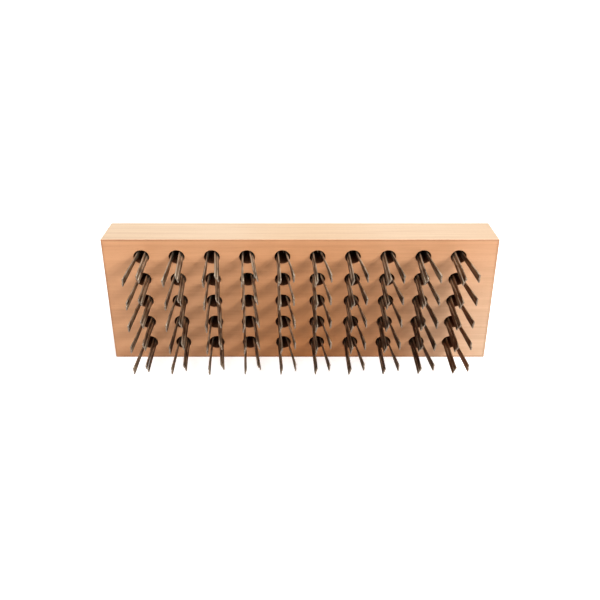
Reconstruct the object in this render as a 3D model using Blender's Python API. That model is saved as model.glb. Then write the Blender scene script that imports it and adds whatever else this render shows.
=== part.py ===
"""Block wire brush: a hardwood block that carries five rows of ten flat-wire tufts.

The block stands on one long edge. X runs along the block, the wires point to -Y and Z is up.
The origin is the centre of the long edge that the block stands on.

Each tuft is two flat hairpins, one above the other, folded over a steel anchor at the bottom
of a blind hole. The two strips of a leg stand edge to edge, rolled in at the top, the upper one a
little further in. The legs lie against the left and right walls of the hole and leave its middle
open, so every hole shows four wire ends. The holes are drilled round, and the wires have pressed
their mouths oval.
"""

import math
import random

import bmesh
import bpy
from mathutils import Matrix, Vector

# Block
BLOCK_LENGTH = 0.2286
BLOCK_HEIGHT = 0.0785
BLOCK_THICKNESS = 0.0270
EASED_EDGE = 0.0005
EASED_SEGMENTS = 2

# Pattern of drilled holes
COLUMNS = 10
ROWS = 5
END_MARGIN = 0.0225
EDGE_MARGIN = 0.0109
HOLE_DIAMETER = 0.0082
MOUTH_STRETCH = 0.0004
HOLE_DEPTH = 0.0165
DRILL_POINT_ANGLE = math.radians(140)
HOLE_SIDES = 20

# Flat wire and its anchor
WIRE_WIDTH = 0.0021
WIRE_THICKNESS = 0.0007
TRIM_LENGTH = 0.0346
ANCHOR_THICKNESS = 0.0008
ANCHOR_WIDTH = 0.0018

# Fits
CLEARANCE = 0.0003
WIRE_SPACING = 0.0001
STRIP_OFFSET = 0.0006
FUSED_DEPTH = 0.0001

# How a tuft sits in its hole. Angles are seen from the front, about the hole's axis.
SEAT_RISE = math.radians(8)
ROLL_IN = math.radians(8)
TURN_MOST = math.radians(10)
TURN_LEAD = 1.5
TURN_COLUMNS = 9
BEND_STEPS = 4

# How the legs stand out of the block
LEG_SPREAD = math.radians(1.9)
LEFT_TOE = math.radians(-0.3)
RIGHT_TOE = math.radians(1.9)
RIGHT_TOE_GROWTH = math.radians(1.5)
TOE_IN = math.radians(0.9)
LEAN_MOST = math.radians(5.8)
LEAN_PEAK = 3.6
LEAN_REACH = 5.6

# Unevenness of handmade tufts: one fixed draw for each tuft and each wire
SEED = 50
TURN_SCATTER = math.radians(4)
LEAN_SCATTER = math.radians(0.4)
PARTING_SCATTER = math.radians(0.5)
SKEW_SCATTER = math.radians(0.5)
TRIM_SCATTER = 0.0006

WOOD_COLOUR = (0.76, 0.45, 0.25, 1.0)
STEEL_COLOUR = (0.16, 0.13, 0.11, 1.0)

LEFT, RIGHT = -1, 1
LOWER, UPPER = -1, 1


def material(name, colour, roughness, metallic):
    """Make a Principled material."""
    made = bpy.data.materials.new(name)
    made.use_nodes = True
    shader = made.node_tree.nodes["Principled BSDF"]
    shader.inputs["Base Color"].default_value = colour
    shader.inputs["Roughness"].default_value = roughness
    shader.inputs["Metallic"].default_value = metallic
    return made


def placed(name, mesh, parent, place=(0, 0, 0), turn=0.0):
    """Put a mesh in the scene under its parent, turned about the Y axis."""
    thing = bpy.data.objects.new(name, mesh)
    thing.location = place
    thing.rotation_euler = (0, turn, 0)
    thing.parent = parent
    bpy.context.scene.collection.objects.link(thing)
    return thing


def finished_mesh(bm, name):
    """Turn a bmesh into a mesh whose faces point outwards."""
    bmesh.ops.recalc_face_normals(bm, faces=bm.faces)
    mesh = bpy.data.meshes.new(name)
    bm.to_mesh(mesh)
    bm.free()
    return mesh


def hole_places():
    """Yield the row, column and mouth centre of every hole, from the top left."""
    across = (BLOCK_LENGTH - 2 * END_MARGIN) / (COLUMNS - 1)
    down = (BLOCK_HEIGHT - 2 * EDGE_MARGIN) / (ROWS - 1)
    for row in range(ROWS):
        for column in range(COLUMNS):
            x = -BLOCK_LENGTH / 2 + END_MARGIN + column * across
            z = BLOCK_HEIGHT - EDGE_MARGIN - row * down
            yield row, column, Vector((x, -BLOCK_THICKNESS / 2, z))


def drill_mesh():
    """Every hole as a plug: a drill's point, and a body that grows oval towards its mouth."""
    bm = bmesh.new()
    for _, _, mouth in hole_places():
        centre = mouth + Vector((0, (HOLE_DEPTH - CLEARANCE) / 2, 0))
        plug = bmesh.ops.create_cone(
            bm,
            cap_ends=True,
            segments=HOLE_SIDES,
            radius1=HOLE_DIAMETER / 2,
            radius2=HOLE_DIAMETER / 2,
            depth=HOLE_DEPTH + CLEARANCE,
            matrix=Matrix.Translation(centre) @ Matrix.Rotation(math.pi / 2, 4, "X"),
        )
        faces = {face for vert in plug["verts"] for face in vert.link_faces}
        deep_end = max(faces, key=lambda face: face.calc_center_median().y)
        point = bmesh.ops.poke(bm, faces=[deep_end])["verts"][0]
        point.co.y += HOLE_DIAMETER / 2 / math.tan(DRILL_POINT_ANGLE / 2)
        for vert in plug["verts"]:
            if vert.co.y < mouth.y:
                vert.co.x += (vert.co.x - mouth.x) * MOUTH_STRETCH / (HOLE_DIAMETER / 2)
    mesh = finished_mesh(bm, "hole_drill")
    mesh.shade_smooth()
    mesh.set_sharp_from_angle(angle=math.pi / HOLE_SIDES * 3)
    return mesh


def build_block(parent, wood):
    """The hardwood block: one board with eased edges and drilled blind holes."""
    bm = bmesh.new()
    middle = Matrix.Translation((0, 0, BLOCK_HEIGHT / 2))
    size = Matrix.Diagonal((BLOCK_LENGTH, BLOCK_THICKNESS, BLOCK_HEIGHT, 1))
    bmesh.ops.create_cube(bm, size=1, matrix=middle @ size)
    mesh = finished_mesh(bm, "block")
    mesh.materials.append(wood)
    block = placed("block", mesh, parent)

    easing = block.modifiers.new("eased edges", "BEVEL")
    easing.width = EASED_EDGE
    easing.segments = EASED_SEGMENTS

    drill = placed("hole_drill", drill_mesh(), parent)
    drill.display_type = "WIRE"
    drill.hide_render = True
    holes = block.modifiers.new("drilled holes", "BOOLEAN")
    holes.operation = "DIFFERENCE"
    holes.solver = "EXACT"
    holes.object = drill


def free_radius():
    """Radius round a hole's axis that the tuft may fill, all the way down."""
    return HOLE_DIAMETER / 2 * math.cos(math.pi / HOLE_SIDES) - CLEARANCE


def leg_half_width():
    """Half the width of a leg: one strip and half the gap to the other."""
    return WIRE_WIDTH + WIRE_SPACING / 2


def seat_distance(polar, roll):
    """Distance of a leg's middle from the hole's axis when its first outer corner is seated.

    The corner is on the oval that runs one clearance inside the mouth.
    """
    oval = Vector((free_radius() + MOUTH_STRETCH, free_radius()))
    outward = Vector((math.cos(polar), math.sin(polar)))
    across = Vector((-math.sin(roll), math.cos(roll))) * leg_half_width()
    outer = Vector((math.cos(roll), math.sin(roll)))
    ray = Vector((outward.x / oval.x, outward.y / oval.y))
    distances = []
    for level in (UPPER, LOWER):
        corner = across * level + outer * (WIRE_THICKNESS - level * STRIP_OFFSET) / 2
        start = Vector((corner.x / oval.x, corner.y / oval.y))
        along = ray.dot(start) / ray.length
        distances.append((math.sqrt(along**2 - start.length_squared + 1) - along) / ray.length)
    return min(distances)


def section_frame(centre, width_axis, path):
    """Frame of a strip's section: X across its width, Y to its outer side, Z along the path."""
    outer = path.cross(width_axis).normalized()
    across = outer.cross(path).normalized()
    axes = Matrix((across, outer, path.normalized())).transposed()
    return Matrix.Translation(centre) @ axes.to_4x4()


def rolled(side, roll):
    """Width axis and outer side of a leg whose upper edge is rolled in towards the middle."""
    across = Vector((-side * math.sin(roll), 0, math.cos(roll)))
    outer = Vector((side * math.cos(roll), 0, math.sin(roll)))
    return across, outer


def leg_frames(side, level, lean, toe, turn, draw):
    """Frames of one strip from its tip down to the start of the bend, and that start.

    The tuft's own frame is turned, so the lean and the toe, which are upright, are turned
    back. The path of a leg runs into the hole on the right and out of it on the left, so
    the frames of a left leg are used in the other order.
    """
    away = Vector((side * math.cos(SEAT_RISE), 0, math.sin(SEAT_RISE)))
    across, outer = rolled(side, ROLL_IN)
    half_across, _ = rolled(side, ROLL_IN / 2)
    middle = away * seat_distance(SEAT_RISE + side * turn, ROLL_IN + side * turn)
    height = level * (WIRE_WIDTH + WIRE_SPACING) / 2
    mouth = middle + across * height - outer * level * STRIP_OFFSET / 2

    outwards = Matrix.Rotation(turn, 3, "Y") @ Vector((math.tan(lean), -1, math.tan(toe)))
    outwards += away * math.tan(LEG_SPREAD + draw.uniform(-SKEW_SCATTER, SKEW_SCATTER))
    outwards += across * level * math.tan(draw.uniform(0, PARTING_SCATTER))
    trim = TRIM_LENGTH + draw.uniform(-TRIM_SCATTER, TRIM_SCATTER)

    bend_radius = math.sqrt(free_radius() ** 2 - leg_half_width() ** 2) - WIRE_THICKNESS / 2
    bend_start = Vector((side * bend_radius, bend_depth() - bend_radius, height))

    along = side * Vector((0, 1, 0))
    return [
        section_frame(mouth + outwards * trim, across, -side * outwards),
        section_frame(mouth, across, along),
        section_frame((mouth + bend_start) / 2, half_across, along),
    ], bend_start


def bend_depth():
    """Depth of the middle of the wire at the bottom of the bend, one clearance off the wood."""
    slope = math.tan(DRILL_POINT_ANGLE / 2)
    floor = HOLE_DEPTH + (HOLE_DIAMETER / 2 - leg_half_width()) / slope
    return floor - CLEARANCE - WIRE_THICKNESS / 2


def bend_frames(start):
    """Frames round the bend, from the right leg to the left."""
    radius = start.x
    frames = []
    for count in range(BEND_STEPS + 1):
        angle = math.pi * count / BEND_STEPS
        centre = Vector((radius * math.cos(angle), start.y + radius * math.sin(angle), start.z))
        path = Vector((-math.sin(angle), math.cos(angle), 0))
        frames.append(section_frame(centre, Vector((0, 0, 1)), path))
    return frames


def sweep_strip(bm, frames):
    """Carry the wire's flat section through the frames, as one closed strip."""
    size = Matrix.Diagonal((WIRE_WIDTH, WIRE_THICKNESS, 1, 1))
    section = bmesh.ops.create_grid(bm, x_segments=1, y_segments=1, size=0.5, matrix=frames[0] @ size)
    face = section["verts"][0].link_faces[0]
    for before, after in zip(frames, frames[1:]):
        grown = bmesh.ops.extrude_face_region(bm, geom=[face])["geom"]
        if before is not frames[0]:
            bmesh.ops.delete(bm, geom=[face], context="FACES_ONLY")
        face = next(item for item in grown if isinstance(item, bmesh.types.BMFace))
        bmesh.ops.transform(bm, matrix=after @ before.inverted(), verts=face.verts)


def hairpins_mesh(lean, toes, turn, draw):
    """The two hairpins of a tuft, in the turned frame of its hole's mouth."""
    bm = bmesh.new()
    for level in (UPPER, LOWER):
        right, bend_start = leg_frames(RIGHT, level, lean, toes[RIGHT], turn, draw)
        left, _ = leg_frames(LEFT, level, lean, toes[LEFT], turn, draw)
        sweep_strip(bm, right + bend_frames(bend_start) + left[::-1])
    return finished_mesh(bm, "hairpins")


def anchor_mesh():
    """The anchor: a bar across the hole that presses the bends to the bottom."""
    bm = bmesh.new()
    length = 2 * math.sqrt(free_radius() ** 2 - (ANCHOR_THICKNESS / 2) ** 2)
    depth = bend_depth() - WIRE_THICKNESS / 2 - ANCHOR_WIDTH / 2 + FUSED_DEPTH
    size = Matrix.Diagonal((ANCHOR_THICKNESS, ANCHOR_WIDTH, length, 1))
    bmesh.ops.create_cube(bm, size=1, matrix=Matrix.Translation((0, depth, 0)) @ size)
    return finished_mesh(bm, "anchor")


def fused(mesh, tool):
    """The mesh joined by a Boolean union with a tool object, as a new mesh."""
    body = placed("fusing", mesh, None)
    union = body.modifiers.new("fused", "BOOLEAN")
    union.operation = "UNION"
    union.solver = "EXACT"
    union.object = tool
    evaluated = body.evaluated_get(bpy.context.evaluated_depsgraph_get())
    result = bpy.data.meshes.new_from_object(evaluated)
    bpy.data.objects.remove(body)
    return result


def column_turn(column):
    """Turn of a column's tufts in their holes, right legs up. It is most left of the middle."""
    return TURN_MOST * math.sin(math.pi * (column + TURN_LEAD) / TURN_COLUMNS)


def column_lean(column):
    """Sideways lean of a column's wires: most left of the middle, none at the right end."""
    return LEAN_MOST * (1 + math.cos(math.pi * (column - LEAN_PEAK) / LEAN_REACH)) / 2


def leg_toes(row, column):
    """Upward lean of both legs: outer rows lean in, right legs rise more to the right."""
    lean_in = TOE_IN * (2 * row / (ROWS - 1) - 1)
    growth = RIGHT_TOE_GROWTH * column / (COLUMNS - 1)
    return {LEFT: LEFT_TOE + lean_in, RIGHT: RIGHT_TOE + growth + lean_in}


def build_tufts(parent, steel):
    """Every tuft, seated in its hole."""
    draw = random.Random(SEED)
    anchor = placed("anchor", anchor_mesh(), None)
    for row, column, mouth in hole_places():
        lean = column_lean(column) + draw.uniform(-LEAN_SCATTER, LEAN_SCATTER)
        turn = column_turn(column) + draw.uniform(-TURN_SCATTER, TURN_SCATTER)
        mesh = fused(hairpins_mesh(lean, leg_toes(row, column), turn, draw), anchor)
        mesh.name = "tuft"
        mesh.materials.clear()
        mesh.materials.append(steel)
        placed(f"tuft_r{row + 1}_c{column + 1:02d}", mesh, parent, mouth, -turn)
    bpy.data.objects.remove(anchor)


def main():
    """Clear the scene and build the brush."""
    for thing in list(bpy.data.objects):
        bpy.data.objects.remove(thing)
    brush = bpy.data.objects.new("brush", None)
    bpy.context.scene.collection.objects.link(brush)
    build_block(brush, material("sanded_beech", WOOD_COLOUR, 0.6, 0.0))
    build_tufts(brush, material("tempered_flat_wire", STEEL_COLOUR, 0.4, 0.9))


main()
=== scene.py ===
"""Block wire brush: bare beech, oil-tempered flat wire with sheared ends, and a pale studio.

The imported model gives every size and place. The block and the tufts are made again here with
finer edges, and each surface gets its material. The file is laid out as an add-on: the settings
are property groups, each group of pieces has its operator, and a panel in the sidebar lists them.

X runs along the block, the wires point to -Y and Z is up.
"""

import math
import random

import bmesh
import bpy
from bpy.props import FloatProperty, FloatVectorProperty, IntProperty, PointerProperty
from mathutils import Euler, Matrix, Quaternion, Vector


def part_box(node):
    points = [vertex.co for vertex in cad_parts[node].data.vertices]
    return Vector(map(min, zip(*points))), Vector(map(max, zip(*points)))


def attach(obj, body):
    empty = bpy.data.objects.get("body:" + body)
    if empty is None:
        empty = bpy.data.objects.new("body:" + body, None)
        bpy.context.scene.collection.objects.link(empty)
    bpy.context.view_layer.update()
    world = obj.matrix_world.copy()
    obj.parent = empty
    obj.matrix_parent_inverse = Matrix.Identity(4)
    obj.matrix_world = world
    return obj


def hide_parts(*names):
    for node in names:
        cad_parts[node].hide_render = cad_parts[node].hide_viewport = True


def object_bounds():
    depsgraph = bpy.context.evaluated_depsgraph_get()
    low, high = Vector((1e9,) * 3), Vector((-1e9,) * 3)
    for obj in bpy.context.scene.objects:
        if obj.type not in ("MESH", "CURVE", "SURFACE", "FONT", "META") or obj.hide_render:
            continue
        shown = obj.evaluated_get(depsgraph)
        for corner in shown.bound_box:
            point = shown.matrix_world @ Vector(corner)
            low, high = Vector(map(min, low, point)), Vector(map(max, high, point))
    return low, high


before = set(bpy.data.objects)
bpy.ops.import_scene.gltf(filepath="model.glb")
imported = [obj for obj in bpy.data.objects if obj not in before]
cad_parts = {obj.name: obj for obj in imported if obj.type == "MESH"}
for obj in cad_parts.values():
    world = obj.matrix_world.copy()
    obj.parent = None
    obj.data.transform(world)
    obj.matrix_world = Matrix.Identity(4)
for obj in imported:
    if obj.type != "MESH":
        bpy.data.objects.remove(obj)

bl_info = {
    "name": "Block wire brush",
    "version": (1, 0, 0),
    "blender": (4, 5, 0),
    "location": "3D View > Sidebar > Brush",
    "description": "Makes a block wire brush round its packed model, and the studio it stands in",
    "category": "Add Mesh",
}

MM = 0.001
CAD_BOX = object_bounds()
BLOCK_LOW, BLOCK_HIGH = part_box("block")
FRONT = BLOCK_LOW.y
TUFTS = sorted(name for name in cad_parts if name.startswith("tuft_"))

BLOCK_MIDDLE = (BLOCK_LOW + BLOCK_HIGH) / 2

# Slots of the block's woods and of the wire's steels. The flats of the wire keep slot 0.
FACE, SIDE, END, BORE = range(4)
EDGE, SHEARED = 1, 2

LEFT, RIGHT = -1, 1
TEAR_SEED, WIRE_SEED = 3, 11
TUFT_TIPS = 4

# How much each part of the grain adds to the tone of the wood
FIBRE_SHARE, BAND_SHARE, BOARD_SHARE, FLECK_SHARE = 0.8, 0.6, 0.35, 0.22
PALEST_TONE, DARKEST_TONE = 0.75, 1.9

# The tints painted on the board, painted light at its right foot and painted shade over the middle
# of its foot: where the shade lies, and how far each reaches along X, Y and Z
PAINTED_LIGHT_REACH = (60 * MM, 1, 90 * MM)
PAINTED_SHADE_PLACE = Vector((5 * MM, 0, -10 * MM))
PAINTED_SHADE_REACH = (76 * MM, 1, 110 * MM)

# How pale the flats and the edges of the wire are, at the foot and at the top of the block, and
# the factors on that at its left and right ends: painted light on the upper rows and the left
# tufts, and a painted highlight on the edges, over the real streaks
FLAT_BARED_AND_LIT = (0.2, 1.5)
EDGE_PAINTED_HIGHLIGHT = (0.8, 2.6)
PAINTED_LIGHT_ALONG = (1.7, 0.5)

# Where along the block the turn of the left and of the right legs sets in, and where and by what
# share the turn of the right legs eases again
LEFT_CHANGE, RIGHT_CHANGE = -40 * MM, -20 * MM
EASE_MIDDLE, EASE_LENGTH, EASE_SHARE = 60 * MM, 100 * MM, 0.55

# Where each lamp stands: degrees to the right of the front, and degrees up
LAMP_PLACES = {"key": (60, 35), "front": (32, 18), "side": (-35, 27), "overhead": (56, 82)}


def linear(level):
    """An sRGB level between nought and one as linear light."""
    return level / 12.92 if level <= 0.04045 else ((level + 0.055) / 1.055) ** 2.4


def colour(code):
    """A hex code in sRGB as linear red, green and blue."""
    return [linear(int(code[start : start + 2], 16) / 255) for start in (1, 3, 5)]


def tint(name, code, text):
    """A colour setting."""
    return FloatVectorProperty(
        name=name, description=text, default=colour(code), subtype="COLOR", min=0, max=1
    )


def length(name, millimetres, text):
    """A length setting, in metres with its default given in millimetres."""
    return FloatProperty(
        name=name, description=text, default=millimetres * MM, min=0, unit="LENGTH", precision=5
    )


def share(name, default, text):
    """A setting between nought and one."""
    return FloatProperty(
        name=name, description=text, default=default, min=0, max=1, subtype="FACTOR"
    )


def power(name, watts):
    """The power of a lamp, in watts."""
    return FloatProperty(
        name=name, description="Power of the lamp", default=watts, min=0, unit="POWER"
    )


def angle(name, degrees, text):
    """An angle setting with its default given in degrees."""
    return FloatProperty(
        name=name, description=text, default=math.radians(degrees), unit="ROTATION"
    )


class BlockSettings(bpy.types.PropertyGroup):
    """Sizes and colours of the beech block."""

    edge_radius: length("Edge radius", 0.6, "Radius of the rounded edges")
    mouth_radius: length("Mouth radius", 0.08, "Wear round the mouth of each hole")
    torn_fibre: length("Torn fibre", 0.08, "Most that torn fibres move a mouth's rim")
    hole_sides: IntProperty(
        name="Hole sides", description="Facets round each hole", default=36, min=12
    )
    face_colour: tint("Face", "#DDA376", "Earlywood on the broad faces")
    # The narrow sides are paler than the broad faces as painted light, standing in for the light
    # that falls on the top from above
    side_colour_painted_light: tint("Narrow sides with painted light", "#F3D6B6", "Earlywood on the narrow long sides, made paler as painted light")
    end_colour: tint("Ends", "#D8A478", "Earlywood on the sawn ends")
    # Darker than the drill alone leaves it: painted shade inside the holes
    bore_colour_and_painted_shade: tint("Bores and painted shade", "#784828", "Drilled walls of the holes")
    # Painted shade: a darker, browner tint over the middle of the board's foot, where the tufts'
    # shadows fall
    painted_shade_colour: tint("Painted shade", "#E7CA98", "Tint of the middle of the board's foot")
    # Painted light: a paler tint at the right foot of the board, where more light falls
    painted_light_colour: tint("Painted light", "#E7C3A2", "Paler tint at the right foot of the board, as painted light")
    # Painted shade along the edges of the broad faces: the shading of the rounded edges and the
    # contact shadow at the foot, painted into the wood
    edge_shade_colour: tint("Painted edge shade", "#966848", "Darker tint along the edges of the broad faces")
    edge_shade_width: length("Rub width", 1.6, "Width of the darkened edges")
    late_tint: tint("Latewood tint", "#D4BFAD", "How the darkest grain tints the wood")
    latewood: share("Latewood", 0.12, "How much darker latewood is than earlywood")
    ring_width: length("Ring width", 4.4, "Width of a year's growth")
    fleck_length: length("Fleck length", 2.4, "Length of the ray flecks along the grain")
    fleck_width: length("Fleck width", 0.35, "Width of the ray flecks across the grain")
    fibre_length: length("Fibre length", 26, "Length of the finest lines of the grain")
    fibre_width: length("Fibre width", 0.45, "Width of the finest lines of the grain")
    band_length: length("Band length", 90, "Length of the soft bands of the grain")
    band_width: length("Band width", 2.6, "Width of the soft bands of the grain")


class WireSettings(bpy.types.PropertyGroup):
    """Sizes and colours of the flat wire."""

    edge_radius: length("Edge radius", 0.24, "Radius of the rolled edges of the flat wire")
    shear_chamfer: length("Shear chamfer", 0.05, "Rim that the shear leaves round each end")
    bow: length("Bow", 0.22, "Most that a leg bows between the block and its tip")
    left_end_twist: angle("Left end twist", -8, "Turn of the left legs at the block's left end")
    left_twist: angle("Left twist", 12, "Turn of the other left legs towards their tips")
    right_twist: angle("Right twist", 24, "Most that the right legs turn towards their tips")
    nest: share("Nest", 0.5, "How far the two strips of a leg close up at their tips")
    twist_change: length("Twist change", 12, "Length of the block over which the twist changes")
    steel_colour: tint("Steel", "#33231A", "Dark scale that oil tempering leaves")
    # Painted reflection of the wood, browner on the tufts at the right end
    painted_reflection_colour: tint("Painted wood reflection", "#80502F", "Painted reflection of the wood on the tufts at the right end")
    painted_reflection_reach: length("Browned reach", 40, "How far from the right end the painted reflection reaches")
    scale_colour: tint("Streaks", "#A8967F", "Where rolling has drawn the scale thin")
    # The edges' pale colour is a painted highlight along the rolled edges
    edge_highlight_colour: tint("Edges", "#D6C5AE", "Painted highlight along the rolled edges")
    sheared_colour: tint("Sheared ends", "#9A8674", "Bare steel where the wire was cut")
    streak_width: length("Streak width", 0.3, "Width of the rolling streaks")
    streak_length: length("Streak length", 22, "Length of the rolling streaks")


class StageSettings(bpy.types.PropertyGroup):
    """The studio: its floor, lamps and camera."""

    floor_colour: tint("Floor", "#F4F4F4", "Pale paper that the brush stands on")
    floor_lift: share("Floor lift", 0.6, "Light added to what is seen of the paper by the brush")
    lift_width: length("Lift width", 500, "Distance at which the paper is lifted to white")
    room_colour: tint("Room colour", "#FFE9D2", "Warm tint of the light that fills the shadows")
    room_light: share("Room light", 0.08, "Strength of the even light from all round")
    key_power: power("Key lamp", 19.4)
    front_power: power("Front lamp", 9.7)
    side_power: power("Side lamp", 7.9)
    overhead_power: power("Overhead lamp", 10.6)
    lamp_size: length("Lamp size", 560, "Width of the lamps round the brush")
    overhead_size: length("Overhead lamp size", 1100, "Width of the lamp overhead")
    lamp_distance: length("Lamp distance", 1900, "From the brush to the lamps round it")
    overhead_distance: length("Overhead lamp distance", 1300, "From the brush to the lamp overhead")
    view_distance: length("View distance", 400.35, "From the camera to the point it looks at")
    view_drop: length("View drop", 34.65, "How far below the front top edge the camera looks")
    view_pitch: angle("View pitch", 26.61, "How far the camera looks down")
    lens: FloatProperty(name="Lens", description="Focal length", default=42.04, unit="CAMERA")


def add(tree, kind, settings=None, **sockets):
    """Add a node: its settings, and its sockets as plain values or as links from other sockets."""
    made = tree.nodes.new(kind)
    for name, value in (settings or {}).items():
        setattr(made, name, value)
    for name, value in sockets.items():
        socket = made.inputs[int(name[1:]) if name[0] == "_" else name.replace("_", " ")]
        if isinstance(value, bpy.types.NodeSocket):
            tree.links.new(value, socket)
        else:
            socket.default_value = value
    return made


def new_material(name):
    """A material with a Principled shader, its tree and that shader."""
    made = bpy.data.materials.new(name)
    made.use_nodes = True
    tree = made.node_tree
    return made, tree, tree.nodes["Principled BSDF"]


def remapped(tree, value, low, high, first, last):
    """A value carried from one range to another and kept inside it."""
    made = add(tree, "ShaderNodeMapRange", _0=value, _1=low, _2=high, _3=first, _4=last)
    return made.outputs[0]


def computed(tree, operation, *values, clamp=False):
    """What one operation makes of its values, each a socket or a plain number."""
    settings = {"operation": operation, "use_clamp": clamp}
    sockets = {f"_{index}": value for index, value in enumerate(values)}
    return add(tree, "ShaderNodeMath", settings, **sockets).outputs[0]


def blended(tree, factor, first, second, blend_type="MIX"):
    """Two colours blended, each a socket or plain red, green and blue."""
    settings = {"data_type": "RGBA", "blend_type": blend_type}
    first, second = (
        item if isinstance(item, bpy.types.NodeSocket) else (*item, 1) for item in (first, second)
    )
    return add(tree, "ShaderNodeMix", settings, _0=factor, _6=first, _7=second).outputs[2]


def scaled(tree, place, scale):
    """A place with each of its axes scaled."""
    return add(tree, "ShaderNodeMapping", Vector=place, Scale=scale).outputs[0]


def relieved(tree, shader, height, strength, distance):
    """Give a material its fine relief."""
    relief = add(tree, "ShaderNodeBump", Strength=strength, Distance=distance, Height=height)
    tree.links.new(relief.outputs[0], shader.inputs["Normal"])


def stretched_noise(tree, place, along, across, detail):
    """Noise drawn out along X, as the grain is."""
    stretched = scaled(tree, place, (1 / along, 1 / across, 1 / across))
    noise = add(
        tree, "ShaderNodeTexNoise", Vector=stretched, Scale=1.0, Detail=detail, Roughness=0.6
    )
    return noise.outputs["Fac"]


def falloff(tree, place, centre, reach):
    """One at a place in the board, down to nought at its reach."""
    near = add(
        tree, "ShaderNodeMapping", {"vector_type": "TEXTURE"},
        Vector=place, Location=centre, Scale=reach,
    )
    away = add(tree, "ShaderNodeVectorMath", {"operation": "LENGTH"}, Vector=near.outputs[0])
    return remapped(tree, away.outputs["Value"], 0.0, 1.0, 1.0, 0.0)


def growth_rings(tree, place, settings):
    """Wandering rings round a pith outside the board, each darkest shortly before its end."""
    most_wander = (0, 9 * MM, 9 * MM)
    to_pith = (0, 62 * MM, 21 * MM)
    wander = scaled(tree, place, (6, 24, 24))
    wander = add(tree, "ShaderNodeTexNoise", Vector=wander, Scale=1.0, Detail=2.0)
    wander = add(
        tree, "ShaderNodeVectorMath", {"operation": "MULTIPLY_ADD"},
        _0=wander.outputs["Color"], _1=most_wander, _2=place,
    )
    pith = add(
        tree, "ShaderNodeMapping",
        Vector=wander.outputs[0], Location=to_pith, Scale=(0.045, 1, 1),
    )
    radius = add(tree, "ShaderNodeVectorMath", {"operation": "LENGTH"}, Vector=pith.outputs[0])
    year = computed(tree, "DIVIDE", radius.outputs["Value"], settings.ring_width)
    ring = add(tree, "ShaderNodeValToRGB", Fac=computed(tree, "FRACT", year))
    ring.color_ramp.elements[0].position = 0.25
    ring.color_ramp.elements[1].position = 0.9
    ring.color_ramp.elements.new(1.0).color = (0.15, 0.15, 0.15, 1)
    return ring.outputs["Color"]


def ray_flecks(tree, place, settings):
    """Short flecks along the grain, with gaps left between them."""
    scale = (1 / settings.fleck_length, 1 / settings.fleck_width, 1 / settings.fleck_width)
    rays = scaled(tree, place, scale)
    rays = add(tree, "ShaderNodeTexVoronoi", Vector=rays, Scale=1.0)
    fleck = remapped(tree, rays.outputs["Distance"], 0.34, 0.14, 0.0, 1.0)
    few = add(tree, "ShaderNodeSeparateColor", _0=rays.outputs["Color"])
    few = computed(tree, "GREATER_THAN", few.outputs[0], 0.55)
    return computed(tree, "MULTIPLY", fleck, few)


def edge_lines(tree, place, width):
    """One at the edges of the broad faces, down to nought a width in from them."""
    half = (BLOCK_HIGH - BLOCK_LOW) / 2
    out = add(
        tree, "ShaderNodeVectorMath", {"operation": "SUBTRACT"}, _0=place, _1=BLOCK_MIDDLE
    )
    out = add(tree, "ShaderNodeVectorMath", {"operation": "ABSOLUTE"}, _0=out.outputs[0])
    out = add(tree, "ShaderNodeSeparateXYZ", Vector=out.outputs[0])
    lines = [
        remapped(tree, out.outputs[axis], half[index] - width, half[index], 0.0, 1.0)
        for index, axis in ((0, "X"), (2, "Z"))
    ]
    return computed(tree, "MAXIMUM", *lines)


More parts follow.
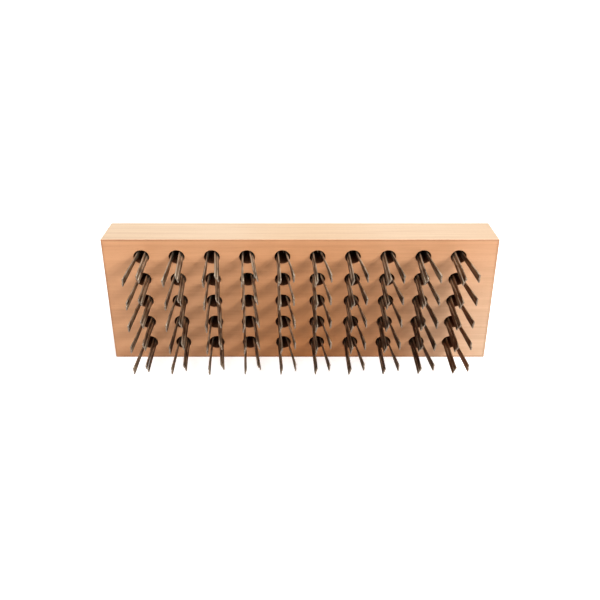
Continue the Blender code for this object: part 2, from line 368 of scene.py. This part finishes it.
def beech(name, early, settings, end_grain=False, edge_shaded=False, roughness=0.55):
    """Beech: pale, close and even wood with faint growth rings and many short ray flecks.

    It has no finish, so it gets a soft matt sheen and hairlines that all run along X. The rings
    are solid: they arc on the sawn ends and run straight on the sides.
    """
    made, tree, shader = new_material(name)
    place = add(tree, "ShaderNodeTexCoord").outputs["Object"]
    rings = growth_rings(tree, place, settings)
    fibres = stretched_noise(tree, place, settings.fibre_length, settings.fibre_width, 3.0)
    bands = stretched_noise(tree, place, settings.band_length, settings.band_width, 2.0)
    flecks = ray_flecks(tree, place, settings)
    board = scaled(tree, place, (9, 34, 34))
    board = add(tree, "ShaderNodeTexNoise", Vector=board, Scale=1.0, Detail=2.0).outputs["Fac"]

    tone = computed(tree, "MULTIPLY", rings, settings.latewood)
    for part, weight in (
        (fibres, FIBRE_SHARE),
        (bands, BAND_SHARE),
        (board, BOARD_SHARE),
        (flecks, FLECK_SHARE),
    ):
        tone = computed(tree, "MULTIPLY_ADD", part, weight, tone)
    tone = remapped(tree, tone, PALEST_TONE, DARKEST_TONE, 0.0, 1.0)
    if end_grain:
        pores = add(tree, "ShaderNodeTexVoronoi", Vector=place, Scale=1 / (0.45 * MM))
        pores = remapped(tree, pores.outputs["Distance"], 0.45, 0.1, 0.0, 0.5)
        tone = computed(tree, "ADD", tone, pores)

    right_foot = Vector((BLOCK_HIGH.x, 0, BLOCK_LOW.z))
    # Painted light, palest at the right foot of the board
    painted_light = falloff(tree, place, right_foot, PAINTED_LIGHT_REACH)
    # Painted shade, darkest at the middle of the board's foot
    painted_shade = falloff(tree, place, PAINTED_SHADE_PLACE, PAINTED_SHADE_REACH)
    wood = blended(tree, painted_light, early, settings.painted_light_colour)
    wood = blended(tree, tone, wood, settings.late_tint, "MULTIPLY")
    wood = blended(tree, painted_shade, wood, settings.painted_shade_colour, "MULTIPLY")
    # Painted shade along the edges of the broad faces
    if edge_shaded:
        edge_shade = computed(tree, "MULTIPLY", edge_lines(tree, place, settings.edge_shade_width), board)
        wood = blended(tree, edge_shade, wood, settings.edge_shade_colour, "MULTIPLY")
    tree.links.new(wood, shader.inputs["Base Color"])
    sheen = remapped(tree, fibres, 0.2, 0.8, roughness - 0.06, roughness + 0.1)
    tree.links.new(sheen, shader.inputs["Roughness"])
    relieved(tree, shader, fibres, 0.35, 0.05 * MM)
    return made


def drilled_beech(settings):
    """Beech cut by a drill: the walls are rough, turned brown by the drill and ringed by the tool,
    and darker still as painted shade inside the holes.
    """
    made, tree, shader = new_material("drilled_beech")
    place = add(tree, "ShaderNodeTexCoord").outputs["Object"]
    rings = scaled(tree, place, (300, 2500, 300))
    rings = add(tree, "ShaderNodeTexNoise", Vector=rings, Scale=1.0, Detail=3.0).outputs["Fac"]
    darker = [channel * 0.55 for channel in settings.bore_colour_and_painted_shade]
    walls = blended(tree, rings, settings.bore_colour_and_painted_shade, darker)
    tree.links.new(walls, shader.inputs["Base Color"])
    relieved(tree, shader, rings, 0.6, 0.1 * MM)
    shader.inputs["Roughness"].default_value = 0.8
    return made


def tempered_steel(name, streak_and_highlight_colour, settings, painted_light_rise):
    """Oil-tempered rolled steel: a dark brown-grey scale with fine streaks along the wire.

    The scale is thin, so the wire keeps a metal's gloss. Rolling has thinned it in streaks, and
    the streaks are painted paler towards the top and the left of the block as painted light; on
    the rolled edges the pale colour is a painted highlight. A painted reflection of the wood
    makes the scale browner at the right end.
    """
    made, tree, shader = new_material(name)
    along = add(tree, "ShaderNodeUVMap", {"uv_map": "wire"}).outputs[0]
    streaks = scaled(tree, along, (1 / settings.streak_width, 1 / settings.streak_length, 1))
    streaks = add(
        tree, "ShaderNodeTexNoise", {"noise_dimensions": "2D"},
        Vector=streaks, Scale=1.0, Detail=4.0, Roughness=0.6,
    ).outputs["Fac"]
    patches = add(
        tree, "ShaderNodeTexNoise", {"noise_dimensions": "2D"},
        Vector=along, Scale=1 / (12 * MM), Detail=2.0,
    ).outputs["Fac"]
    thin = remapped(tree, computed(tree, "MULTIPLY", streaks, patches), 0.17, 0.4, 0.14, 1.0)

    place = add(tree, "ShaderNodeTexCoord").outputs["Object"]
    place = add(tree, "ShaderNodeSeparateXYZ", Vector=place)
    # Painted light: the streaks turn paler towards the top of the block and towards its left end,
    # where more light falls on the wire
    painted_light_high = remapped(tree, place.outputs["Z"], BLOCK_LOW.z, BLOCK_HIGH.z, *painted_light_rise)
    painted_light_left = remapped(tree, place.outputs["X"], BLOCK_LOW.x, BLOCK_HIGH.x, *PAINTED_LIGHT_ALONG)
    bared_and_painted_light = computed(tree, "MULTIPLY", painted_light_high, painted_light_left)
    bared_and_painted_light = computed(tree, "MULTIPLY", thin, bared_and_painted_light, clamp=True)
    # Painted reflection of the wood: the scale turns browner towards the right end
    painted_reflection_from = BLOCK_HIGH.x - settings.painted_reflection_reach
    browned = remapped(tree, place.outputs["X"], painted_reflection_from, BLOCK_HIGH.x, 0.0, 1.0)
    scale = blended(tree, browned, settings.steel_colour, settings.painted_reflection_colour)
    steel = blended(tree, bared_and_painted_light, scale, streak_and_highlight_colour)
    tree.links.new(steel, shader.inputs["Base Color"])

    gloss = remapped(tree, patches, 0.3, 0.7, 0.34, 0.5)
    tree.links.new(gloss, shader.inputs["Roughness"])
    relieved(tree, shader, streaks, 0.4, 0.02 * MM)
    shader.inputs["Metallic"].default_value = 0.85
    shader.inputs["Specular Tint"].default_value = (0.4, 0.3, 0.22, 1)
    return made


def sheared_steel(settings):
    """Cut steel: bare and rather dull, with the lines that the shear dragged across it."""
    made, tree, shader = new_material("sheared_steel")
    along = add(tree, "ShaderNodeUVMap", {"uv_map": "wire"}).outputs[0]
    drag = scaled(tree, along, (1 / (0.08 * MM), 1 / (0.6 * MM), 1))
    drag = add(tree, "ShaderNodeTexNoise", {"noise_dimensions": "2D"}, Vector=drag, Scale=1.0)
    drag = drag.outputs["Fac"]
    duller = [channel * 0.45 for channel in settings.sheared_colour]
    cut = blended(tree, drag, settings.sheared_colour, duller)
    tree.links.new(cut, shader.inputs["Base Color"])
    relieved(tree, shader, drag, 0.5, 0.02 * MM)
    shader.inputs["Metallic"].default_value = 0.5
    shader.inputs["Roughness"].default_value = 0.55
    return made


def merged_copy(node):
    """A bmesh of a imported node, its doubled points merged and its flat faces made whole again."""
    bm = bmesh.new()
    bm.from_mesh(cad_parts[node].data)
    bmesh.ops.remove_doubles(bm, verts=bm.verts, dist=1e-6)
    bmesh.ops.dissolve_limit(bm, angle_limit=math.radians(1.5), verts=bm.verts, edges=bm.edges)
    bm.normal_update()
    return bm


def finished(bm, name, materials):
    """Put a finished mesh in the scene, at the origin, on the one body that the brush has."""
    mesh = bpy.data.meshes.new(name)
    bm.to_mesh(mesh)
    bm.free()
    for item in materials:
        mesh.materials.append(item)
    piece = bpy.data.objects.new(name, mesh)
    bpy.context.scene.collection.objects.link(piece)
    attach(piece, "root")
    return piece


def hole_places():
    """Centre, half width, half height and depths of every hole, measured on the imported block."""
    inset, slack, hole_reach = 3 * MM, 0.1 * MM, 7 * MM
    bm = merged_copy("block")
    inner = [
        vert.co.copy()
        for vert in bm.verts
        if BLOCK_LOW.x + inset < vert.co.x < BLOCK_HIGH.x - inset
        and BLOCK_LOW.z + inset < vert.co.z < BLOCK_HIGH.z - inset
    ]
    bm.free()
    floor = [co for co in inner if co.y < BLOCK_HIGH.y - inset]
    deepest = max(co.y for co in floor)
    places = []
    for point in (co for co in floor if co.y > deepest - slack):
        near = [co for co in floor if (co - point).xz.length < hole_reach and co is not point]
        mouth = [co for co in near if co.y < FRONT + slack]
        wall = [co for co in near if co.y > FRONT + inset]
        places.append(
            {
                "centre": Vector((point.x, FRONT, point.z)),
                "half_width": max(abs(co.x - point.x) for co in mouth),
                "half_height": max(abs(co.z - point.z) for co in mouth),
                "depth": max(co.y for co in wall) - FRONT,
                "point": point.y - FRONT,
            }
        )
    return sorted(places, key=lambda place: (-place["centre"].z, place["centre"].x))


def drill_plug(bm, place, settings, draw):
    """One hole as a plug: a drill's point, a wall that grows oval, and a rounded, torn mouth."""
    outside, torn_depth = -1 * MM, 2 * MM
    flare = settings.mouth_radius
    radius = place["half_height"]
    profile = [(0, place["point"]), (radius, place["depth"]), (radius, flare)]
    for step in (1, 2, 3):
        turned = math.radians(30 * step)
        profile.append((radius + flare * (1 - math.cos(turned)), flare * (1 - math.sin(turned))))
    profile += [(radius + flare, outside), (0, outside)]
    verts = [bm.verts.new((out, deep, 0)) for out, deep in profile]
    edges = [bm.edges.new(pair) for pair in zip(verts, verts[1:])]
    bmesh.ops.spin(
        bm, geom=verts + edges, cent=(0, 0, 0), axis=(0, 1, 0), angle=math.tau,
        steps=settings.hole_sides, use_merge=True, use_duplicate=False,
    )
    bmesh.ops.remove_doubles(bm, verts=bm.verts, dist=0.001 * MM)

    stretch = place["half_width"] / radius - 1
    tears = [(draw.uniform(0, math.tau), draw.uniform(0.2, 1)) for _ in range(3)]
    for vert in bm.verts:
        around = math.atan2(vert.co.z, vert.co.x)
        waves = [
            size * math.sin((3 + 4 * count) * around + start)
            for count, (start, size) in enumerate(tears)
        ]
        mouthward = min(max(1 - vert.co.y / torn_depth, 0), 1)
        torn = max(sum(waves), 0) * settings.torn_fibre * mouthward * abs(math.cos(around))
        risen = min(max(1 - vert.co.y / place["depth"], 0), 1)
        vert.co.x *= (1 + stretch * risen) * (1 + torn / radius)
    bmesh.ops.recalc_face_normals(bm, faces=bm.faces)
    bmesh.ops.translate(bm, verts=bm.verts, vec=place["centre"])


def drill_plugs(settings):
    """All holes as one mesh of plugs."""
    draw = random.Random(TEAR_SEED)
    mesh = bpy.data.meshes.new("drill_plugs")
    plugs = bmesh.new()
    for place in hole_places():
        plug = bmesh.new()
        drill_plug(plug, place, settings, draw)
        plug.to_mesh(mesh)
        plug.free()
        plugs.from_mesh(mesh)
    for face in plugs.faces:
        face.material_index = BORE
    plugs.to_mesh(mesh)
    plugs.free()
    return mesh


class BRUSH_OT_block(bpy.types.Operator):
    """Make the beech block with its rounded edges and drilled holes"""

    bl_idname = "wire_brush.block"
    bl_label = "Beech block"

    def execute(self, context):
        settings = context.scene.brush_block
        bm = bmesh.new()
        middle = Matrix.Translation(BLOCK_MIDDLE)
        size = Matrix.Diagonal((*(BLOCK_HIGH - BLOCK_LOW), 1))
        bmesh.ops.create_cube(bm, size=1, matrix=middle @ size)
        bmesh.ops.bevel(
            bm, geom=bm.edges[:], offset=settings.edge_radius, segments=4,
            profile=0.5, affect="EDGES", material=-1,
        )
        for face in bm.faces:
            way = max(range(3), key=lambda axis: abs(face.normal[axis]))
            face.material_index = (END, FACE, SIDE)[way]
        woods = [
            beech("sanded_beech_face", settings.face_colour, settings, edge_shaded=True),
            # The narrow sides' paler colour is painted light from above
            beech("sanded_beech_side_painted_light", settings.side_colour_painted_light, settings),
            beech(
                "sawn_beech_end", settings.end_colour, settings, end_grain=True, roughness=0.65
            ),
            drilled_beech(settings),
        ]
        block = finished(bm, "beech_block", woods)
        drill = bpy.data.objects.new("drill_plugs", drill_plugs(settings))
        context.scene.collection.objects.link(drill)
        holes = block.modifiers.new("drilled holes", "BOOLEAN")
        holes.operation = "DIFFERENCE"
        holes.solver = "EXACT"
        holes.object = drill
        weighted = block.modifiers.new("flat faces stay flat", "WEIGHTED_NORMAL")
        weighted.keep_sharp = True
        for polygon in block.data.polygons:
            polygon.use_smooth = True
        evaluated = block.evaluated_get(context.evaluated_depsgraph_get())
        block.data = bpy.data.meshes.new_from_object(evaluated)
        block.data.name = "beech_block"
        block.modifiers.clear()
        bpy.data.objects.remove(drill)
        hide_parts("block")
        return {"FINISHED"}


class Leg:
    """One straight leg of a tuft: its sheared end, its axis and the flat of its wire."""

    def __init__(self, tip_face):
        self.corners = list(tip_face.verts)
        self.long_edges = [
            next(edge for edge in vert.link_edges if edge not in tip_face.edges)
            for vert in self.corners
        ]
        roots = [edge.other_vert(vert) for edge, vert in zip(self.long_edges, self.corners)]
        self.tip = sum((vert.co for vert in self.corners), Vector()) / 4
        self.root = sum((vert.co for vert in roots), Vector()) / 4
        self.axis = (self.tip - self.root).normalized()
        widest = max(tip_face.edges, key=lambda edge: edge.calc_length())
        across = widest.verts[0].co - widest.verts[1].co
        across = across if across.z > 0 else -across
        self.across = (across - self.axis * across.dot(self.axis)).normalized()
        self.through = self.axis.cross(self.across)
        self.reach = (self.tip - self.root).length

    def distance(self, point):
        """How far a point is from the line of the leg."""
        offset = point - self.tip
        return (offset - self.axis * offset.dot(self.axis)).length


def changed(place, middle, span):
    """Nought to one along the block, over a span round the middle of the change."""
    return min(max((place - middle) / span + 0.5, 0), 1)


def closing(leg, partner, run, nest):
    """How far a strip moves towards the other one of its leg, so that they close up to the tip."""
    rest = leg.root - partner.root
    parted = (leg.tip - partner.tip - rest) * run
    parted -= leg.axis * parted.dot(leg.axis)
    step = leg.through * (rest + parted).dot(leg.through) * nest * run
    return -(parted + step) / 2


def leg_twists(place, settings):
    """How far the left and the right legs turn towards their tips, at a place along the block."""
    left = changed(place, LEFT_CHANGE, settings.twist_change)
    right = changed(place, RIGHT_CHANGE, settings.twist_change)
    right *= 1 - EASE_SHARE * changed(place, EASE_MIDDLE, EASE_LENGTH)
    return {
        LEFT: settings.left_end_twist + (settings.left_twist - settings.left_end_twist) * left,
        RIGHT: settings.right_twist * right,
    }


def tip_faces(bm):
    """The faces that look forward at the tips of a tuft."""
    middle = (CAD_BOX[0].y + FRONT) / 2
    return [
        face
        for face in bm.faces
        if face.normal.y < -0.9 and face.calc_center_median().y < middle
    ]


def bend_legs(bm, legs, settings, draw):
    """Close up, turn and bow the legs of a tuft, from the face of the block to their tips."""
    centre = sum((leg.root for leg in legs), Vector()) / TUFT_TIPS
    bows = {side: draw.uniform(-settings.bow, settings.bow) for side in (LEFT, RIGHT)}
    twists = leg_twists(centre.x, settings)
    sides = {leg: RIGHT if leg.root.x > centre.x else LEFT for leg in legs}
    partners = {
        leg: next(item for item in legs if item is not leg and sides[item] == sides[leg])
        for leg in legs
    }
    for leg in legs:
        bmesh.ops.subdivide_edges(bm, edges=leg.long_edges, cuts=5, use_grid_fill=True)
    for vert in bm.verts:
        if vert.co.y < FRONT - 0.01 * MM:
            leg = min(legs, key=lambda item: item.distance(vert.co))
            side, partner = sides[leg], partners[leg]
            run = (vert.co - leg.root).dot(leg.axis) / leg.reach
            run = min(max(run, 0), 1)
            vert.co += closing(leg, partner, run, settings.nest)
            spine = (leg.root + partner.root) / 2
            turn = Quaternion((leg.axis + partner.axis).normalized(), -twists[side] * run)
            vert.co = spine + turn @ (vert.co - spine)
            vert.co += leg.through * bows[side] * math.sin(math.pi * run)


def roll_edges(bm, radius):
    """Round the long edges of the flat wire, as far into the holes as they can be seen."""
    depth_seen = 14 * MM
    rolled = [
        edge
        for edge in bm.edges
        if edge.is_manifold
        and edge.calc_face_angle() > math.radians(40)
        and max(vert.co.y for vert in edge.verts) < FRONT + depth_seen
        and abs((edge.verts[0].co - edge.verts[1].co).normalized().y) > 0.7
    ]
    made = bmesh.ops.bevel(
        bm, geom=rolled, offset=radius, segments=3, profile=0.5, affect="EDGES", material=-1
    )
    for face in made["faces"]:
        face.material_index = EDGE
    bm.normal_update()


def chamfer_ends(bm, width):
    """Give the sheared ends their steel and a small chamfer."""
    ends = [face for face in tip_faces(bm) if len(face.verts) > 4]
    rims = {edge for face in ends for edge in face.edges}
    for face in ends:
        face.material_index = SHEARED
    bmesh.ops.bevel(
        bm, geom=list(rims), offset=width, segments=1, profile=0.5, affect="EDGES", material=-1
    )


def unroll(bm, legs, draw):
    """Lay each leg out along its length, from a start of its own, for the streaks."""
    uv = bm.loops.layers.uv.new("wire")
    starts = {leg: Vector((draw.uniform(0, 1), draw.uniform(0, 1))) for leg in legs}
    for face in bm.faces:
        leg = min(legs, key=lambda item: item.distance(face.calc_center_median()))
        for loop in face.loops:
            offset = loop.vert.co - leg.tip
            around = offset.dot(leg.across) + offset.dot(leg.through)
            loop[uv].uv = starts[leg] + Vector((around, -offset.dot(leg.axis)))
        face.smooth = True


def tuft_mesh(node, settings, draw):
    """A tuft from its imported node: bent legs, rolled edges and chamfered sheared ends."""
    bm = merged_copy(node)
    tips = tip_faces(bm)
    if len(tips) != TUFT_TIPS or any(len(face.verts) != 4 for face in tips):
        raise RuntimeError(f"{node} doesn't have four sheared ends with four corners each")
    legs = [Leg(face) for face in tips]
    bend_legs(bm, legs, settings, draw)
    roll_edges(bm, settings.edge_radius)
    chamfer_ends(bm, settings.shear_chamfer)
    unroll(bm, legs, draw)
    return bm


class BRUSH_OT_tufts(bpy.types.Operator):
    """Make every tuft of flat wire"""

    bl_idname = "wire_brush.tufts"
    bl_label = "Flat-wire tufts"

    def execute(self, context):
        settings = context.scene.brush_wire
        draw = random.Random(WIRE_SEED)
        steel = [
            tempered_steel("oil_tempered_steel", settings.scale_colour, settings, FLAT_BARED_AND_LIT),
            # Its pale colour is a painted highlight along the rolled edges
            tempered_steel("edge_steel_painted_highlight", settings.edge_highlight_colour, settings, EDGE_PAINTED_HIGHLIGHT),
            sheared_steel(settings),
        ]
        for node in TUFTS:
            bm = tuft_mesh(node, settings, draw)
            tuft = finished(bm, node.replace("tuft", "wires"), steel)
            tuft.data.set_sharp_from_angle(angle=math.radians(35))
            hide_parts(node)
        return {"FINISHED"}


class BRUSH_OT_stage(bpy.types.Operator):
    """Set up the floor, the lamps and the camera"""

    bl_idname = "wire_brush.stage"
    bl_label = "Pale studio"

    def execute(self, context):
        settings = context.scene.brush_stage
        self.floor(context, settings)
        self.room(context, settings)
        near, far = settings.overhead_distance, settings.lamp_distance
        self.lamp(context, "key", settings.key_power, settings.lamp_size, far)
        self.lamp(context, "front", settings.front_power, settings.lamp_size, far)
        self.lamp(context, "side", settings.side_power, settings.lamp_size, far)
        self.lamp(context, "overhead", settings.overhead_power, settings.overhead_size, near)
        self.camera(context, settings)
        context.scene.view_settings.view_transform = "Standard"
        return {"FINISHED"}

    def floor(self, context, settings):
        """Pale paper, lifted towards white where it is seen, that keeps the brush's shadow."""
        bm = bmesh.new()
        bmesh.ops.create_grid(bm, x_segments=1, y_segments=1, size=20)
        mesh = bpy.data.meshes.new("floor")
        bm.to_mesh(mesh)
        bm.free()
        made, tree, shader = new_material("matt_paper")
        shader.inputs["Base Color"].default_value = (*settings.floor_colour, 1)
        shader.inputs["Roughness"].default_value = 0.9
        shader.inputs["Specular IOR Level"].default_value = 0.0
        place = add(tree, "ShaderNodeTexCoord").outputs["Object"]
        away = add(tree, "ShaderNodeVectorMath", {"operation": "LENGTH"}, Vector=place)
        away = away.outputs["Value"]
        lift = remapped(tree, away, 0.0, settings.lift_width, settings.floor_lift, 1.0)
        lift = computed(tree, "MULTIPLY", self.seen(tree), lift)
        tree.links.new(lift, shader.inputs["Emission Strength"])
        shader.inputs["Emission Color"].default_value = (1, 1, 1, 1)
        mesh.materials.append(made)
        floor = bpy.data.objects.new("floor", mesh)
        context.scene.collection.objects.link(floor)

    def seen(self, tree):
        """One for light seen straight, by gloss or through something clear, else nought."""
        path = add(tree, "ShaderNodeLightPath")
        seen = computed(
            tree, "MAXIMUM", path.outputs["Is Camera Ray"], path.outputs["Is Glossy Ray"]
        )
        return computed(tree, "MAXIMUM", seen, path.outputs["Is Transmission Ray"])

    def room(self, context, settings):
        """Even light from all round: white where it is seen, warm where it fills shadows."""
        world = bpy.data.worlds.new("pale_room")
        world.use_nodes = True
        tree = world.node_tree
        seen = self.seen(tree)
        strength = remapped(tree, seen, 0.0, 1.0, settings.room_light, 1.0)
        tone = blended(tree, seen, settings.room_colour, (1, 1, 1))
        tree.links.new(tone, tree.nodes["Background"].inputs["Color"])
        tree.links.new(strength, tree.nodes["Background"].inputs["Strength"])
        context.scene.world = world

    def lamp(self, context, name, watts, size, distance):
        """A square soft lamp in its named place, that shines at the block."""
        right, up = LAMP_PLACES[name]
        data = bpy.data.lights.new(name, "AREA")
        data.energy = watts
        data.size = size
        lamp = bpy.data.objects.new(name, data)
        turn = Euler((math.radians(-up), 0, math.radians(right)))
        towards = turn.to_matrix() @ Vector((0, -distance, 0))
        lamp.location = BLOCK_MIDDLE + towards
        lamp.rotation_euler = (-towards).to_track_quat("-Z", "Y").to_euler()
        context.scene.collection.objects.link(lamp)

    def camera(self, context, settings):
        """The camera, square to the block and looking down at it."""
        data = bpy.data.cameras.new("camera")
        data.lens = settings.lens
        data.sensor_width = 36
        camera = bpy.data.objects.new("camera", data)
        pitch = settings.view_pitch
        ahead = Vector((0, math.cos(pitch), -math.sin(pitch)))
        above = Vector((0, math.sin(pitch), math.cos(pitch)))
        edge = Vector((0, FRONT, BLOCK_HIGH.z))
        camera.location = edge - above * settings.view_drop - ahead * settings.view_distance
        camera.rotation_euler = (math.pi / 2 - pitch, 0, 0)
        data.clip_start = 0.01
        context.scene.collection.objects.link(camera)
        context.scene.camera = camera


class BRUSH_PT_panel(bpy.types.Panel):
    """The brush's pieces and settings"""

    bl_label = "Block wire brush"
    bl_idname = "BRUSH_PT_panel"
    bl_space_type = "VIEW_3D"
    bl_region_type = "UI"
    bl_category = "Brush"

    def draw(self, context):
        for operator, group in (
            (BRUSH_OT_block, context.scene.brush_block),
            (BRUSH_OT_tufts, context.scene.brush_wire),
            (BRUSH_OT_stage, context.scene.brush_stage),
        ):
            box = self.layout.box()
            box.operator(operator.bl_idname)
            for name in group.__annotations__:
                box.prop(group, name)


CLASSES = (
    BlockSettings,
    WireSettings,
    StageSettings,
    BRUSH_OT_block,
    BRUSH_OT_tufts,
    BRUSH_OT_stage,
    BRUSH_PT_panel,
)


def register():
    """Register the classes and hang their settings on the scene."""
    for item in CLASSES:
        bpy.utils.register_class(item)
    bpy.types.Scene.brush_block = PointerProperty(type=BlockSettings)
    bpy.types.Scene.brush_wire = PointerProperty(type=WireSettings)
    bpy.types.Scene.brush_stage = PointerProperty(type=StageSettings)


def unregister():
    """Take the settings off the scene and unregister the classes."""
    del bpy.types.Scene.brush_stage
    del bpy.types.Scene.brush_wire
    del bpy.types.Scene.brush_block
    for item in reversed(CLASSES):
        bpy.utils.unregister_class(item)


def main():
    """Make every piece and the stage."""
    register()
    bpy.ops.wire_brush.block()
    bpy.ops.wire_brush.tufts()
    bpy.ops.wire_brush.stage()


if __name__ == "__main__":
    main()
